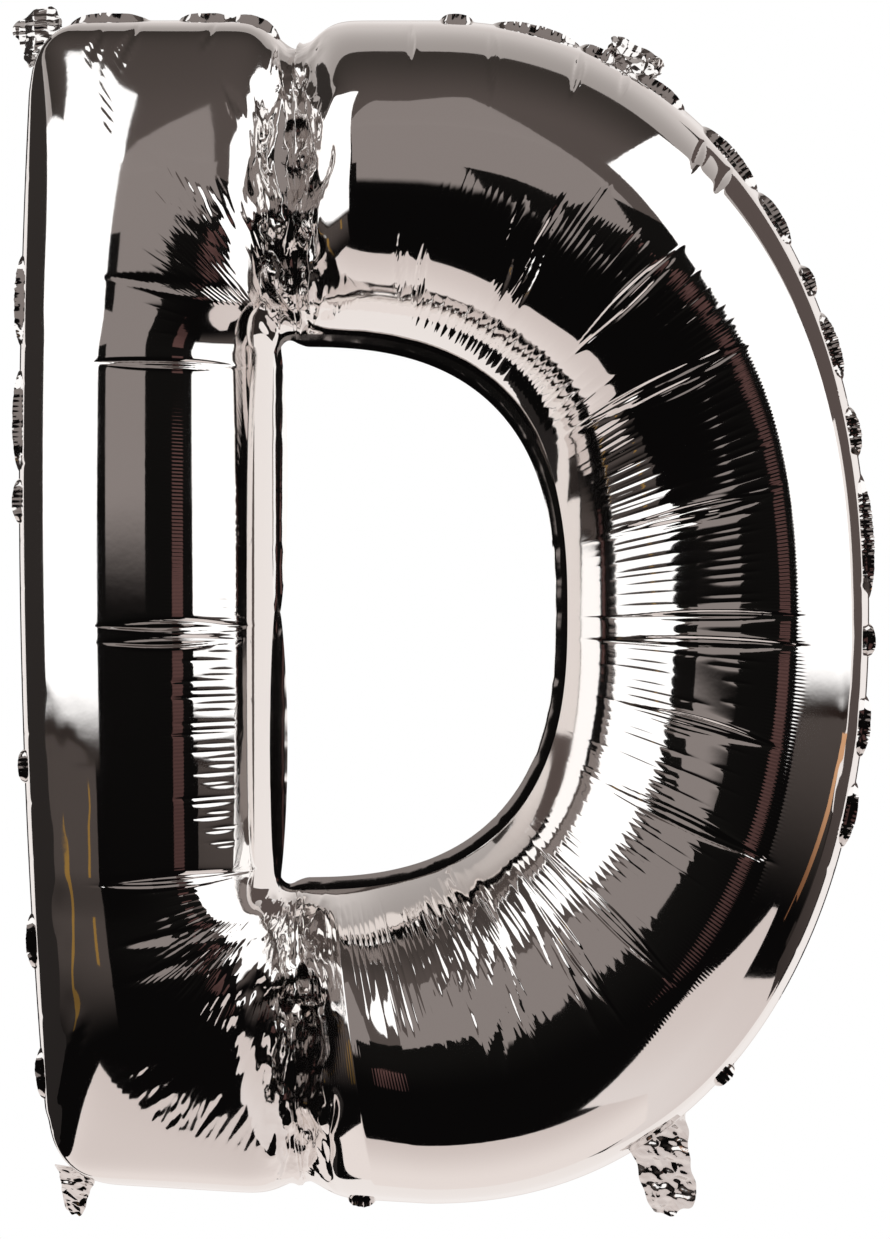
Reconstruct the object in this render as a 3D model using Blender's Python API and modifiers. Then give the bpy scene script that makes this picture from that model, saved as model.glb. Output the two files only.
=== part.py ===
"""A letter D foil balloon, about 86 cm tall: two domed film panels heat-sealed round two seams.

The frame: +X to the right as the letter reads, +Z up, and the front panel faces -Y. The seam plane
is y = 0, and the origin is the middle of the letter's height and width in that plane.
"""

import math

import bmesh
import bpy
from mathutils import Vector

# The envelope, in metres: the letter's silhouette without its hems and tabs.
LETTER_TOP = 0.421
LETTER_BOTTOM = -0.421
BOWL_RIGHT = 0.302
STEM_LEFT = -0.302
SIDE_ARC_RADIUS = 5.4
SIDE_ARC_HEIGHT = 0.094
CORNER_RADIUS = 0.046

# The bowl's outer edge is a superellipse, which is an ellipse flattened a little towards a rectangle.
BOWL_CENTRE_X = -0.011
BOWL_POWER = 2.2
# The bottom edge climbs towards the stem.
BOTTOM_SLOPE = 0.060

# Where the stem meets the bowl the edge dips inwards.
TOP_NOTCH_X = -0.105
TOP_NOTCH_DEPTH = 0.021
BOTTOM_NOTCH_X = -0.100
BOTTOM_NOTCH_DEPTH = 0.012
NOTCH_HALF_WIDTH = 0.019

# The counter, which is the hole in the letter, up to its seam.
COUNTER_LEFT = -0.119
COUNTER_RIGHT = 0.088
COUNTER_TOP = 0.198
COUNTER_BOTTOM = -0.198
COUNTER_POWER = 2.65
COUNTER_CORNER_RADIUS = 0.014

# The two panels: how far they stand out from the seam plane, as a share of the tube's width.
DOME_SHARE = 0.46
STEM_WIDTH = 0.190
PANEL_WALL = 0.010
SQUARE_START = 0.004

# The crumpled valleys between the stem and the bowl, above and below the counter.
VALLEY_DEPTH = 0.42
VALLEY_HALF_WIDTH = 0.032

# The heat-sealed bands.
SEAM_THICKNESS = 0.002
HEM_WIDTH = 0.009
SEAM_UNDER_PANEL = 0.009
TOUCHING_GAP = 0.0003

# Tabs and the inflation tail, which lie on the hem's back.
TAB_THICKNESS = 0.003
TAB_START = 0.0012
TAIL_AT = (0.146, -0.360)
TAIL_DIRECTION = (0.25, -0.97)
TAIL_SIZE = (0.062, 0.040)
TAIL_END_RADIUS = 0.012
LOW_TAB_AT = (-0.262, -0.405)
LOW_TAB_DIRECTION = (-0.12, -0.99)
LOW_TAB_SIZE = (0.034, 0.030)
HIGH_TAB_AT = (-0.290, 0.412)
HIGH_TAB_DIRECTION = (-0.62, 0.78)
HIGH_TAB_SIZE = (0.028, 0.036)
BOWL_TAB_AT = (0.134, 0.395)
BOWL_TAB_DIRECTION = (0.46, 0.89)
BOWL_TAB_SIZE = (0.021, 0.044)
TAB_END_RADIUS = 0.007

# How finely the ring of each panel is divided.
BOWL_STATIONS = 46
CORNER_STATIONS = 15
STEM_STATIONS = 10
ROWS_ACROSS = 11
OUTLINE_STEPS = 400
CORNER_STEPS = 20

LETTER_NAME = "letter_foil_balloon"

FILM_COLOUR = (0.66, 0.65, 0.64, 1.0)
SEAM_COLOUR = (0.58, 0.57, 0.56, 1.0)
TAB_COLOUR = (0.62, 0.61, 0.60, 1.0)


def clear_scene():
    """Empties the file of everything that Blender starts with."""
    for thing in list(bpy.data.objects):
        bpy.data.objects.remove(thing, do_unlink=True)


def film_material(name, colour, roughness):
    """A metallised film, as a Principled material."""
    material = bpy.data.materials.new(name)
    material.use_nodes = True
    shader = material.node_tree.nodes["Principled BSDF"]
    shader.inputs["Base Color"].default_value = colour
    shader.inputs["Roughness"].default_value = roughness
    shader.inputs["Metallic"].default_value = 1.0
    material.diffuse_color = colour
    return material


# Outlines in the seam plane, as points (x, z)


def superellipse_point(centre, reach, power, angle):
    """The point at an angle on a superellipse, which is an ellipse when the power is 2."""
    cosine = math.cos(angle)
    sine = math.sin(angle)
    x = centre[0] + reach[0] * math.copysign(abs(cosine) ** (2 / power), cosine)
    z = centre[1] + reach[1] * math.copysign(abs(sine) ** (2 / power), sine)
    return Vector((x, z))


def notch(x, notch_x, depth):
    """How far the edge is drawn in near the crease between stem and bowl."""
    return depth * math.exp(-(((x - notch_x) / NOTCH_HALF_WIDTH) ** 2))


def top_edge(x):
    return Vector((x, LETTER_TOP - notch(x, TOP_NOTCH_X, TOP_NOTCH_DEPTH)))


def bottom_edge(x):
    climb = BOTTOM_SLOPE * (BOWL_CENTRE_X - x)
    return Vector((x, LETTER_BOTTOM + climb + notch(x, BOTTOM_NOTCH_X, BOTTOM_NOTCH_DEPTH)))


def left_edge(z):
    """The stem's outer side, a very flat arc that is widest above the middle."""
    return Vector((STEM_LEFT + (z - SIDE_ARC_HEIGHT) ** 2 / (2 * SIDE_ARC_RADIUS), z))


def rounded_corner(before, corner, after, radius):
    """Points of a quadratic curve that rounds a corner between two straight runs."""
    start = corner + (before - corner).normalized() * radius
    end = corner + (after - corner).normalized() * radius
    points = []
    for step in range(CORNER_STEPS + 1):
        t = step / CORNER_STEPS
        points.append(start * (1 - t) ** 2 + corner * 2 * t * (1 - t) + end * t**2)
    return points


def span(first, last, steps):
    return [first + (last - first) * step / steps for step in range(steps + 1)]


def outer_outline():
    """The outer seam as four runs, clockwise from the top notch: bowl, low corner, left side, high corner."""
    centre_z = (LETTER_TOP + LETTER_BOTTOM) / 2
    reach = (BOWL_RIGHT - BOWL_CENTRE_X, (LETTER_TOP - LETTER_BOTTOM) / 2)
    bowl = [top_edge(x) for x in span(TOP_NOTCH_X, BOWL_CENTRE_X, OUTLINE_STEPS // 4)]
    for angle in span(math.pi / 2, -math.pi / 2, OUTLINE_STEPS)[1:]:
        bowl.append(superellipse_point((BOWL_CENTRE_X, centre_z), reach, BOWL_POWER, angle))
    bowl += [bottom_edge(x) for x in span(BOWL_CENTRE_X, BOTTOM_NOTCH_X, OUTLINE_STEPS // 4)[1:]]

    low_corner = bottom_edge(left_edge(LETTER_BOTTOM).x)
    low_start = low_corner.x + CORNER_RADIUS
    low_turn = rounded_corner(bottom_edge(low_start), low_corner, left_edge(COUNTER_BOTTOM), CORNER_RADIUS)
    bottom = [bottom_edge(x) for x in span(BOTTOM_NOTCH_X, low_start, OUTLINE_STEPS // 4)]
    bottom += low_turn[1:]
    bottom += [left_edge(z) for z in span(low_turn[-1].y, COUNTER_BOTTOM, OUTLINE_STEPS // 4)[1:]]

    side = [left_edge(z) for z in span(COUNTER_BOTTOM, COUNTER_TOP, OUTLINE_STEPS // 4)]

    high_corner = Vector((left_edge(LETTER_TOP).x, LETTER_TOP))
    high_end = high_corner.x + CORNER_RADIUS
    high_turn = rounded_corner(left_edge(COUNTER_TOP), high_corner, top_edge(high_end), CORNER_RADIUS)
    top = [left_edge(z) for z in span(COUNTER_TOP, high_turn[0].y, OUTLINE_STEPS // 4)]
    top += high_turn[1:]
    top += [top_edge(x) for x in span(high_end, TOP_NOTCH_X, OUTLINE_STEPS // 4)[1:]]
    return bowl, bottom, side, top


def counter_outline(grown):
    """The counter's outline as four runs that match the outer ones: its curve, a corner, its straight side
    and a corner. It lies this far outside its seam, or inside the hole if the distance is negative."""
    left = COUNTER_LEFT - grown
    middle_z = (COUNTER_TOP + COUNTER_BOTTOM) / 2
    radius = COUNTER_CORNER_RADIUS + grown
    reach = (COUNTER_RIGHT + grown - left - radius, (COUNTER_TOP - COUNTER_BOTTOM) / 2 + grown)
    curve = []
    for angle in span(math.pi / 2, -math.pi / 2, OUTLINE_STEPS):
        curve.append(superellipse_point((left + radius, middle_z), reach, COUNTER_POWER, angle))
    low_corner = Vector((left, middle_z - reach[1]))
    high_corner = Vector((left, middle_z + reach[1]))
    low_turn = rounded_corner(curve[-1], low_corner, high_corner, radius)
    high_turn = rounded_corner(low_corner, high_corner, curve[0], radius)
    return curve, low_turn, [low_turn[-1], high_turn[0]], high_turn


def resample(points, count):
    """This many points at equal steps along a line of points, its last point left out."""
    reached = [0.0]
    for before, after in zip(points, points[1:]):
        reached.append(reached[-1] + (after - before).length)
    found = []
    index = 0
    for step in range(count):
        target = reached[-1] * step / count
        while reached[index + 1] < target:
            index += 1
        share = (target - reached[index]) / (reached[index + 1] - reached[index])
        found.append(points[index].lerp(points[index + 1], share))
    return found


def stations(runs):
    """The stations of a closed outline, in order, from its four runs."""
    counts = (BOWL_STATIONS, CORNER_STATIONS, STEM_STATIONS, CORNER_STATIONS)
    ring = []
    for run, count in zip(runs, counts):
        ring += resample(run, count)
    return ring


def outward_directions(ring, smoothing):
    """For each point of a clockwise ring, the way out of it, averaged over its neighbours so that a hem's
    edge doesn't cross itself in a notch."""
    count = len(ring)
    plain = []
    for index in range(count):
        along = ring[(index + 1) % count] - ring[index - 1]
        plain.append(Vector((-along.y, along.x)).normalized())
    smooth = []
    for index in range(count):
        total = Vector((0.0, 0.0))
        for step in range(-smoothing, smoothing + 1):
            total += plain[(index + step) % count]
        smooth.append(total.normalized())
    return smooth


def offset_ring(ring, distance, smoothing):
    directions = outward_directions(ring, smoothing)
    return [point + direction * distance for point, direction in zip(ring, directions)]


# Sheets bent into the letter's ring


def make_ring_sheet(name, count, rows, place, wall, offset, material, collection):
    """A grid closed round into a ring, its vertices placed by station and row, and then given its wall."""
    shape = bmesh.new()
    bmesh.ops.create_grid(shape, x_segments=count, y_segments=rows, size=0.5)
    for vertex in shape.verts:
        station = round((vertex.co.x + 0.5) * count) % count
        row = round((vertex.co.y + 0.5) * rows)
        vertex.co = place(station, row)
    bmesh.ops.remove_doubles(shape, verts=shape.verts, dist=TOUCHING_GAP / 10)
    bmesh.ops.recalc_face_normals(shape, faces=shape.faces)
    side = sum(face.calc_center_median().y for face in shape.faces)
    facing = sum(face.normal.y for face in shape.faces)
    if side * facing < 0:
        bmesh.ops.reverse_faces(shape, faces=shape.faces)
    mesh = bpy.data.meshes.new(name)
    shape.to_mesh(mesh)
    shape.free()
    mesh.shade_smooth()
    mesh.materials.append(material)
    sheet = bpy.data.objects.new(name, mesh)
    collection.objects.link(sheet)
    thickness = sheet.modifiers.new("wall", "SOLIDIFY")
    thickness.thickness = wall
    thickness.offset = offset
    return sheet


def tube_width(inner, outer):
    """The tube's width at a station, held to the stem's at the corners, where the film isn't stretched."""
    if inner.x > COUNTER_LEFT + COUNTER_CORNER_RADIUS:
        return (outer - inner).length
    return min((outer - inner).length, STEM_WIDTH)


def valley(point):
    """The share of the dome's height that is lost near the creases above and below the counter."""
    notch_x = TOP_NOTCH_X if point.y > 0 else BOTTOM_NOTCH_X
    into = max(point.y - COUNTER_TOP, COUNTER_BOTTOM - point.y, 0.0)
    started = min(1.0, into / VALLEY_HALF_WIDTH)
    return VALLEY_DEPTH * started * math.exp(-(((point.x - notch_x) / VALLEY_HALF_WIDTH) ** 2))


def panel_point(inner, outer, row, side):
    """A point of the panel's outer face. Row 0 is on the counter's seam and the last row on the outer one;
    the rows next to them stand straight above the seams. side is -1 for the front panel."""
    lift = SEAM_THICKNESS / 2 + TOUCHING_GAP
    if row in (0, ROWS_ACROSS):
        flat = inner if row == 0 else outer
        return Vector((flat.x, side * lift, flat.y))
    share = (1 - math.cos(math.pi * (row - 1) / (ROWS_ACROSS - 2))) / 2
    flat = inner.lerp(outer, share)
    arch = 2 * math.sqrt(max(share * (1 - share), 0.0))
    height = DOME_SHARE * tube_width(inner, outer) * arch * (1 - valley(flat))
    return Vector((flat.x, side * (lift + SQUARE_START + height), flat.y))


def make_panel(name, side, inner_ring, outer_ring, material, collection):
    """One film panel, domed away from the seam plane, with its wall turned inwards."""

    def place(station, row):
        return panel_point(inner_ring[station], outer_ring[station], row, side)

    count = len(inner_ring)
    return make_ring_sheet(name, count, ROWS_ACROSS, place, PANEL_WALL, -1.0, material, collection)


def make_seam(name, inner_ring, outer_ring, material, collection):
    """A flat heat-sealed band between two rings, lying in the seam plane."""

    def place(station, row):
        flat = outer_ring[station] if row else inner_ring[station]
        return Vector((flat.x, 0.0, flat.y))

    return make_ring_sheet(name, len(inner_ring), 1, place, SEAM_THICKNESS, 0.0, material, collection)


# Tabs and the inflation tail


def tab_outline(root, outward, direction, size, end_radius):
    """A tab's outline: its root lies along the seam, its sides lean to the direction, and its end is round."""
    length, width = size
    across = Vector((outward.y, -outward.x)) * width / 2
    far = direction * length
    points = [root - across]
    points += rounded_corner(root - across, root - across + far, root + across + far, end_radius)[::4]
    points += rounded_corner(root - across + far, root + across + far, root + across, end_radius)[::4]
    points.append(root + across)
    return points


def make_tab(name, ring, at, direction, size, end_radius, material, collection):
    """A flat tab on the back of the hem, which starts just outside the back panel's rim."""
    target = Vector(at)
    nearest = min(range(len(ring)), key=lambda index: (ring[index] - target).length)
    outward = outward_directions(ring, 2)[nearest]
    root = ring[nearest] + outward * TAB_START
    curve = bpy.data.curves.new(name, "CURVE")
    curve.dimensions = "2D"
    curve.fill_mode = "BOTH"
    curve.extrude = TAB_THICKNESS / 2
    outline = tab_outline(root, outward, Vector(direction).normalized(), size, end_radius)
    spline = curve.splines.new("POLY")
    spline.points.add(len(outline) - 1)
    for handle, point in zip(spline.points, outline):
        handle.co = (point.x, point.y, 0.0, 1.0)
    spline.use_cyclic_u = True
    curve.materials.append(material)
    tab = bpy.data.objects.new(name, curve)
    tab.rotation_euler = (math.pi / 2, 0.0, 0.0)
    tab.location = (0.0, SEAM_THICKNESS / 2 + TOUCHING_GAP + TAB_THICKNESS / 2, 0.0)
    collection.objects.link(tab)
    return tab


def build():
    clear_scene()
    collection = bpy.data.collections.new(LETTER_NAME)
    bpy.context.scene.collection.children.link(collection)
    film = film_material("mirror_foil", FILM_COLOUR, 0.08)
    weld = film_material("heat_sealed_foil", SEAM_COLOUR, 0.22)
    crumpled = film_material("crumpled_foil", TAB_COLOUR, 0.18)

    counter = stations(counter_outline(0.0))
    edge = stations(outer_outline())
    make_panel("front_panel", -1, counter, edge, film, collection)
    make_panel("back_panel", 1, counter, edge, film, collection)

    under_edge = offset_ring(edge, -SEAM_UNDER_PANEL, 1)
    make_seam("outer_seam", under_edge, offset_ring(edge, HEM_WIDTH, 2), weld, collection)
    counter_hem = stations(counter_outline(-HEM_WIDTH))
    under_counter = stations(counter_outline(SEAM_UNDER_PANEL))
    make_seam("counter_seam", counter_hem, under_counter, weld, collection)

    tabs = (
        ("inflation_tail", TAIL_AT, TAIL_DIRECTION, TAIL_SIZE, TAIL_END_RADIUS),
        ("bottom_left_tab", LOW_TAB_AT, LOW_TAB_DIRECTION, LOW_TAB_SIZE, TAB_END_RADIUS),
        ("top_left_tab", HIGH_TAB_AT, HIGH_TAB_DIRECTION, HIGH_TAB_SIZE, TAB_END_RADIUS),
        ("top_right_tab", BOWL_TAB_AT, BOWL_TAB_DIRECTION, BOWL_TAB_SIZE, TAB_END_RADIUS),
    )
    for name, at, direction, size, end_radius in tabs:
        make_tab(name, edge, at, direction, size, end_radius, crumpled, collection)


build()
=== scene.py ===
# %% [markdown]
# # A silver foil letter D, dressed in Blender
#
# The object is a party balloon: two sheets of metallised film, heat-sealed to each other round the letter and
# round its counter, which is the hole in the letter. Gas holds them out into nearly round tubes.
# Mirror film has no colour of its own, so everything that the eye reads comes from two things: the small shape
# of the film, with its wrinkles and creases, and the studio that it mirrors. This lesson builds both.

# %% The frame and the tools
import math

import bpy
import numpy as np
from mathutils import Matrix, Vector


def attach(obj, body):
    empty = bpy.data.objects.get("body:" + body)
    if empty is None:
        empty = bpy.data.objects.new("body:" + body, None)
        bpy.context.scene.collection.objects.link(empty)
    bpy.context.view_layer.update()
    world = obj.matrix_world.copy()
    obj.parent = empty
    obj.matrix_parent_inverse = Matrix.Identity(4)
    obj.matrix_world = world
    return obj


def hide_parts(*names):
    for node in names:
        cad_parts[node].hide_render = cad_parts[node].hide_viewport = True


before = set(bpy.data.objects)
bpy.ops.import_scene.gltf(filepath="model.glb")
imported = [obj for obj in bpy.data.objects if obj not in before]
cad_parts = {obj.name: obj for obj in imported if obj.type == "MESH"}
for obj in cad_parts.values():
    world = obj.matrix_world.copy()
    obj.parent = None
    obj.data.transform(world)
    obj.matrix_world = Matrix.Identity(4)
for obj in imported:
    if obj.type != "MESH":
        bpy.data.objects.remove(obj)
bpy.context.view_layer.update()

print("CAD nodes:", sorted(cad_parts))


# %% [markdown]
# Two helpers serve every material. Colours are written as sRGB hex values, as in a paint program, and Blender
# wants them linear. One function adds any node with its settings and its links.


# %% Helpers for colours and nodes
def linear(hex_colour):
    """An sRGB hex colour as linear red, green, blue and alpha."""
    channels = [int(hex_colour[i : i + 2], 16) / 255 for i in (1, 3, 5)]
    return [c / 12.92 if c < 0.04045 else ((c + 0.055) / 1.055) ** 2.4 for c in channels] + [1.0]


def add_node(tree, kind, links=None, values=None, **settings):
    """Adds a node. settings are its own fields, values its sockets' numbers, and links what feeds its sockets."""
    node = tree.nodes.new(kind)
    for field, value in settings.items():
        setattr(node, field, value)
    for socket, value in (values or {}).items():
        node.inputs[socket].default_value = value
    for socket, source in (links or {}).items():
        tree.links.new(source, node.inputs[socket])
    return node


def new_material(name):
    """A material with its Principled shader, ready for nodes."""
    material = bpy.data.materials.new(name)
    material.use_nodes = True
    return material, material.node_tree, material.node_tree.nodes["Principled BSDF"]


# %% [markdown]
# ## The camera
#
# The photographer stood straight in front of the letter, level with its middle, a little under three metres
# away. The picture is filled by the letter from edge to edge.

# %% Camera
CAMERA_DISTANCE = 2.6
PICTURE_HEIGHT = 0.8828
PICTURE_CENTRE = (0.0007, -0.0053)
SENSOR = 36.0

camera_data = bpy.data.cameras.new("camera")
camera_data.sensor_fit = "AUTO"
camera_data.sensor_width = SENSOR
camera_data.lens = SENSOR * CAMERA_DISTANCE / PICTURE_HEIGHT
camera = bpy.data.objects.new("camera", camera_data)
camera.location = (PICTURE_CENTRE[0], -CAMERA_DISTANCE, PICTURE_CENTRE[1])
camera.rotation_euler = (math.pi / 2, 0.0, 0.0)
bpy.context.scene.collection.objects.link(camera)
bpy.context.scene.camera = camera
bpy.context.scene.view_settings.view_transform = "Standard"
print(f"Lens: {camera_data.lens:.0f} mm")

# %% [markdown]
# ## The studio
#
# A mirror shows its surroundings, so the studio is modelled as a photographer would set it up for shiny goods:
# a pale sweep of paper under and behind the letter, a tall softbox on each side, a dim room behind the camera
# with a dark floor, and a taupe wall and ceiling above it. The cards glow, and are hidden from the camera, so
# that the letter mirrors them while every view shows only the plain pale floor and a white surround.


# %% Studio cards
def glow_material(name, low_colour, high_colour, strength, axis, start, end):
    """A glowing surface whose colour runs from one to another along an axis, between two places in metres."""
    material = bpy.data.materials.new(name)
    material.use_nodes = True
    tree = material.node_tree
    tree.nodes.clear()
    place = add_node(tree, "ShaderNodeTexCoord")
    parts = add_node(tree, "ShaderNodeSeparateXYZ", {"Vector": place.outputs["Object"]})
    share = add_node(
        tree,
        "ShaderNodeMapRange",
        {"Value": parts.outputs[axis]},
        {"From Min": start, "From Max": end},
        interpolation_type="SMOOTHSTEP",
    )
    mix = add_node(
        tree,
        "ShaderNodeMix",
        {"Factor": share.outputs["Result"]},
        data_type="RGBA",
    )
    mix.inputs["A"].default_value = linear(low_colour)
    mix.inputs["B"].default_value = linear(high_colour)
    glow = add_node(tree, "ShaderNodeEmission", {"Color": mix.outputs["Result"]}, {"Strength": strength})
    add_node(tree, "ShaderNodeOutputMaterial", {"Surface": glow.outputs["Emission"]})
    return material


def add_card(name, corners, material):
    """A flat glowing card from its four corners, seen only in reflections."""
    bpy.ops.object.select_all(action="DESELECT")
    bpy.ops.mesh.primitive_plane_add(size=1.0)
    card = bpy.context.object
    card.name = name
    for vertex, corner in zip(card.data.vertices, corners):
        vertex.co = corner
    card.data.materials.append(material)
    card.visible_camera = False
    card.visible_shadow = False
    return card


def standing_card(name, ends, low, highs, material):
    """An upright card between two places, each an azimuth in degrees and a distance in metres. Azimuth 0 is
    towards the camera, and positive to its right. highs are the levels of its top at the two places."""
    feet = [(math.sin(math.radians(a)) * d, -math.cos(math.radians(a)) * d) for a, d in ends]
    corners = [(x, y, low) for x, y in feet] + [(x, y, high) for (x, y), high in zip(feet, highs)]
    return add_card(name, corners, material)


# %% The room
ROOM_FRONT = -3.6
PAPER_LEVEL = -3.0
FLOOR_LEVEL = -1.0
CEILING = 1.7
LEFT_BOX_FRONT = ((-0.79, -0.69, -0.16), (-0.95, -0.475, -0.16), (-0.70, -0.80, 1.68), (-0.95, -0.475, 1.40))
LEFT_BOX_MIDDLE = ((-0.95, -0.475, -0.16), (-1.176, -0.172, -0.16), (-0.95, -0.475, 1.40), (-1.176, -0.172, 0.86))
LEFT_BOX_REAR = ((-1.176, -0.172, -0.16), (-1.48, 0.235, -0.16), (-1.176, -0.172, 0.86), (-1.48, 0.235, 0.78))
RIGHT_BOX = ((1.691, -2.001, -0.20), (1.427, 0.463, -0.20), (0.93, -1.74, 1.70), (1.15, 0.10, 1.70))
COPPER_A = ((0.650, -0.010, -0.36), (0.690, -0.045, -0.36), (0.548, 0.098, -0.12), (0.590, 0.060, -0.12))
COPPER_B = ((0.715, -0.070, -0.42), (0.725, -0.080, -0.42), (0.610, 0.038, -0.18), (0.618, 0.030, -0.18))
LIGHT_CEILING = ((-2.6, ROOM_FRONT), (1.5, ROOM_FRONT), (-2.6, -2.1), (0.05, -1.0))

dark = glow_material("dark_room", "#0a0909", "#131211", 1.0, "Z", -1.0, 1.0)
rear_dark = glow_material("rear_dark", "#262322", "#332f2d", 1.0, "Z", -1.0, 1.0)
rear_taupe = glow_material("rear_taupe", "#2b2624", "#5a504d", 1.0, "Z", -0.6, 0.1)
taupe_wall = glow_material("taupe_wall", "#141211", "#8b8380", 1.0, "Z", 0.0, 0.14)
light_ceiling = glow_material("light_ceiling", "#8f8784", "#8b8380", 1.0, "Y", -3.0, -1.6)
dark_ceiling = glow_material("dark_ceiling", "#564e4b", "#3a3532", 1.0, "Y", -1.2, 0.15)
pale_ceiling = glow_material("pale_ceiling", "#a59f9c", "#d0cac7", 1.0, "Y", 0.17, 1.6)
paper = glow_material("paper_sweep", "#d6cbc7", "#efe6e2", 1.0, "Y", -1.75, 0.6)
side_paper = glow_material("paper_side", "#e6dedb", "#d8cdc9", 1.0, "Z", -3.0, -0.9)
backdrop_paper = glow_material("backdrop_paper", "#f1ebe8", "#cdc6c3", 1.03, "Z", 0.4, 1.9)
skirt_grey = glow_material("skirt_grey", "#0b0a0a", "#4d4643", 1.0, "Z", -0.75, -0.2)
softbox_left = glow_material("softbox_cloth_left", "#2a2421", "#ffffff", 1.25, "Z", -0.145, -0.085)
softbox_right = glow_material("softbox_cloth_right", "#231b18", "#ffffff", 1.25, "Z", -0.18, -0.09)
brown_stand = glow_material("brown_stand", "#463230", "#5f4542", 1.0, "Z", -0.6, 0.4)
brass_stand = glow_material("brass_stand", "#2a2010", "#8f6f3a", 1.0, "Z", -0.7, -0.25)
copper_stand = glow_material("copper_stand", "#7a5238", "#d3a179", 1.0, "Z", -0.36, -0.14)


def add_wall(name, start, end, low, high, material):
    """An upright card from one floor point (x, y) to another."""
    return add_card(name, [(*start, low), (*end, low), (*start, high), (*end, high)], material)


def add_level(name, x_range, y_range, z, material):
    """A level card."""
    return add_card(name, [(x, y, z) for y in y_range for x in x_range], material)


add_wall("room_front", (-4, ROOM_FRONT), (4, ROOM_FRONT), -3.1, 3, dark)
add_wall("room_left", (-4, ROOM_FRONT), (-4, 3), -3.1, 3, dark)
add_wall("room_right", (4, ROOM_FRONT), (4, 3), -3.1, 3, dark)
add_wall("room_back", (-4, 3), (4, 3), -3.1, 3, rear_dark)
add_level("room_floor", (-4, 4), (ROOM_FRONT, 3), -3.05, dark)
add_wall("room_wall_low", (-1.22, -1.6), (-0.17, -1.6), 0.0, 0.45, taupe_wall)
add_wall("room_wall_high", (-1.6, -1.62), (0.55, -1.62), 0.45, 1.3, taupe_wall)
add_card("room_ceiling_light", [(x, y, CEILING) for x, y in LIGHT_CEILING], light_ceiling)
add_level("room_ceiling_dark", (-4, 4), (ROOM_FRONT, 0.17), CEILING + 0.02, dark_ceiling)
add_level("room_ceiling_pale", (-4, 4), (0.17, 1.6), CEILING + 0.02, pale_ceiling)
add_level("paper_floor", (-4, 4), (-1.75, 1.6), PAPER_LEVEL, paper)
add_wall("paper_back", (-1.2, 1.6), (1.2, 1.6), PAPER_LEVEL, 2.2, backdrop_paper)
standing_card("rear_card_left", ((-99, 1.7), (-146, 2.4)), -1.0, (1.7, 1.7), rear_dark)
standing_card("rear_card_right_high", ((106, 2.0), (146, 2.4)), 0.50, (1.7, 1.7), rear_taupe)
standing_card("rear_paper_right", ((106, 2.0), (146, 2.4)), -0.50, (0.5, 0.5), backdrop_paper)
standing_card("rear_card_right_low", ((106, 2.0), (146, 2.4)), -1.05, (-0.5, -0.5), rear_taupe)
add_wall("rear_card_right_near", (0.557, 0.096), (0.44, 0.22), -0.42, 0.42, rear_taupe)
standing_card("side_paper_front", ((33, 2.6), (73, 2.3)), PAPER_LEVEL, (-1.02, -0.90), side_paper)
standing_card("side_paper_middle", ((73, 2.3), (124, 2.3)), PAPER_LEVEL, (-1.40, -1.25), side_paper)
standing_card("side_paper_rear", ((124, 2.3), (160, 2.5)), PAPER_LEVEL, (-1.05, -1.05), side_paper)
add_card("softbox_left_front", LEFT_BOX_FRONT, softbox_left)
add_card("softbox_left_middle", LEFT_BOX_MIDDLE, softbox_left)
add_card("softbox_left_rear", LEFT_BOX_REAR, softbox_left)
add_card("softbox_right", RIGHT_BOX, softbox_right)
standing_card("skirt_left", ((-52, 1.15), (-99, 1.52)), -0.75, (-0.14, -0.14), skirt_grey)
standing_card("skirt_right", ((44, 2.64), (108, 1.52)), -0.75, (-0.18, -0.18), skirt_grey)
standing_card("brown_stand", ((21.3, 3.8), (31.0, 3.6)), -0.65, (0.22, 0.22), brown_stand)
standing_card("brass_stand_a", ((-78.5, 1.1), (-82.5, 1.1)), -0.60, (-0.22, -0.25), brass_stand)
standing_card("brass_stand_b", ((-59.4, 1.1), (-61.4, 1.1)), -0.32, (-0.19, -0.19), brass_stand)
add_card("copper_stand_a", COPPER_A, copper_stand)
add_card("copper_stand_b", COPPER_B, copper_stand)

# %% The floor that the camera sees, and the white surround
world = bpy.data.worlds.new("white_surround")
world.use_nodes = True
world.node_tree.nodes["Background"].inputs["Color"].default_value = (1.0, 1.0, 1.0, 1.0)
bpy.context.scene.world = world

floor_material = glow_material("plain_floor", "#ffffff", "#ffffff", 1.0, "Z", 0.0, 1.0)
bpy.ops.object.select_all(action="DESELECT")
bpy.ops.mesh.primitive_plane_add(size=12.0, location=(0.0, 0.0, FLOOR_LEVEL))
floor = bpy.context.object
floor.name = "floor"
floor.data.materials.append(floor_material)
floor.visible_glossy = False

# %% [markdown]
# ## The letter's outlines
#
# The film is welded along two closed lines in the plane y = 0: the outer edge of the letter, and the edge of
# its counter. They are the same lines as in the CAD part, in metres. The bowl's edge is a superellipse, which
# is an ellipse flattened a little towards a rectangle, and the stem's side is a very flat arc.

# %% Outline sizes, in metres
LETTER_TOP = 0.421
LETTER_BOTTOM = -0.421
BOWL_RIGHT = 0.302
STEM_LEFT = -0.302
SIDE_ARC_RADIUS = 5.4
SIDE_ARC_HEIGHT = 0.094
CORNER_RADIUS = 0.046
BOWL_CENTRE_X = -0.011
BOWL_POWER = 2.2
BOTTOM_SLOPE = 0.060
TOP_NOTCH = (-0.105, 0.021)
BOTTOM_NOTCH = (-0.100, 0.012)
NOTCH_HALF_WIDTH = 0.019
COUNTER_LEFT = -0.119
COUNTER_RIGHT = 0.088
COUNTER_TOP = 0.198
COUNTER_BOTTOM = -0.198
COUNTER_POWER = 2.65
COUNTER_CORNER_RADIUS = 0.014
HEM_WIDTH = 0.009


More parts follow.
